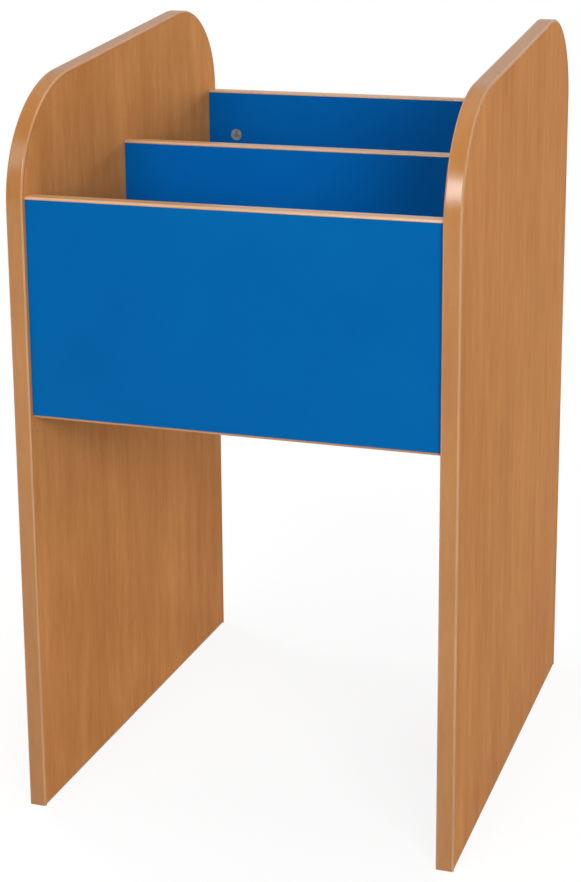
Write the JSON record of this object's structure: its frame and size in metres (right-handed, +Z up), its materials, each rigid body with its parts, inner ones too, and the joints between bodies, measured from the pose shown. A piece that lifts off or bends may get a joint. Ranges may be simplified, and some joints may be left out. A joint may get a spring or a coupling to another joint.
{
  "type": "picture book browser bin",
  "caption": "Free-standing picture book browser: tall beech-faced sides with rounded, sloping tops carry stepped, open-topped book compartments between blue panels.",
  "frame": {"origin": "on the floor, under the middle of the footprint", "axes": "+Z up; -Y towards the front, where the lowest panel is; +X to the right seen from the front"},
  "size_m": [0.5, 0.55, 0.874],
  "materials": {
    "beech_board": "satin beech woodgrain facing on particleboard",
    "blue_board": "satin plain blue facing on particleboard",
    "beech_lipping": "satin beech-printed plastic edging",
    "zinc_cam": "dull cast zinc",
    "steel_bolt": "zinc-plated steel",
    "beech_dowel": "bare beech"
  },
  "bodies": {
    "root": {"left_side_panel": "beech_board", "left_side_edge_lipping": "beech_lipping", "left_side_bottom_lipping": "beech_lipping", "right_side_panel": "beech_board", "right_side_edge_lipping": "beech_lipping", "right_side_bottom_lipping": "beech_lipping", "front_panel": "blue_board", "front_panel_top_lipping": "beech_lipping", "front_panel_bottom_lipping": "beech_lipping", "middle_divider": "blue_board", "middle_divider_top_lipping": "beech_lipping", "middle_divider_bottom_lipping": "beech_lipping", "back_panel": "blue_board", "back_panel_top_lipping": "beech_lipping", "back_panel_bottom_lipping": "beech_lipping", "front_base_board": "blue_board", "rear_base_board": "blue_board", "front_panel_cam_housings": "zinc_cam", "front_panel_cam_bolts": "steel_bolt", "front_panel_end_dowels": "beech_dowel", "middle_divider_cam_housings": "zinc_cam", "middle_divider_cam_bolts": "steel_bolt", "middle_divider_end_dowels": "beech_dowel", "back_panel_cam_housings": "zinc_cam", "back_panel_cam_bolts": "steel_bolt", "back_panel_end_dowels": "beech_dowel", "front_base_board_cam_housings": "zinc_cam", "front_base_board_cam_bolts": "steel_bolt", "front_base_board_end_dowels": "beech_dowel", "rear_base_board_cam_housings": "zinc_cam", "rear_base_board_cam_bolts": "steel_bolt", "rear_base_board_end_dowels": "beech_dowel", "front_base_board_edge_dowels": "beech_dowel", "rear_base_board_edge_dowels": "beech_dowel"}
  },
  "joints": []
}
